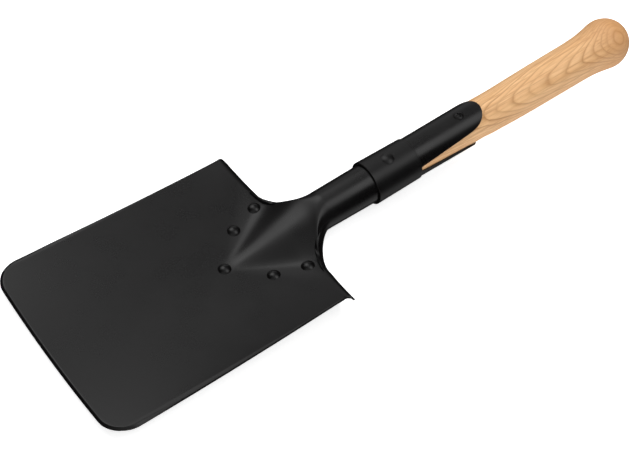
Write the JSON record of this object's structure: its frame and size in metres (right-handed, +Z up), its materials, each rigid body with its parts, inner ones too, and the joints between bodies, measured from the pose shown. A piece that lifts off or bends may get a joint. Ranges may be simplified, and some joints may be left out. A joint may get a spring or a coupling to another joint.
{
  "type": "camp shovel",
  "caption": "Short fixed camp shovel: dished black steel blade with a ridge, riveted socket with two tongues, collar, and a round wooden handle with a knob end.",
  "frame": {"origin": "middle of the shovel's length and width, on the surface it lies on", "axes": "+Y along the handle from the blade to the knob, +X to the right, +Z up out of the blade's hollow face"},
  "size_m": [0.1576, 0.4944, 0.0639],
  "materials": {
    "black_steel": "satin",
    "handle_wood": "satin"
  },
  "bodies": {
    "root": {"blade": "black_steel", "back_plate": "black_steel", "collar": "black_steel", "handle": "handle_wood", "blade_rivet_1": "black_steel", "blade_rivet_2": "black_steel", "blade_rivet_3": "black_steel", "blade_rivet_4": "black_steel", "blade_rivet_5": "black_steel", "collar_rivet": "black_steel", "front_tongue_screw": "black_steel", "back_tongue_screw": "black_steel"}
  },
  "joints": []
}
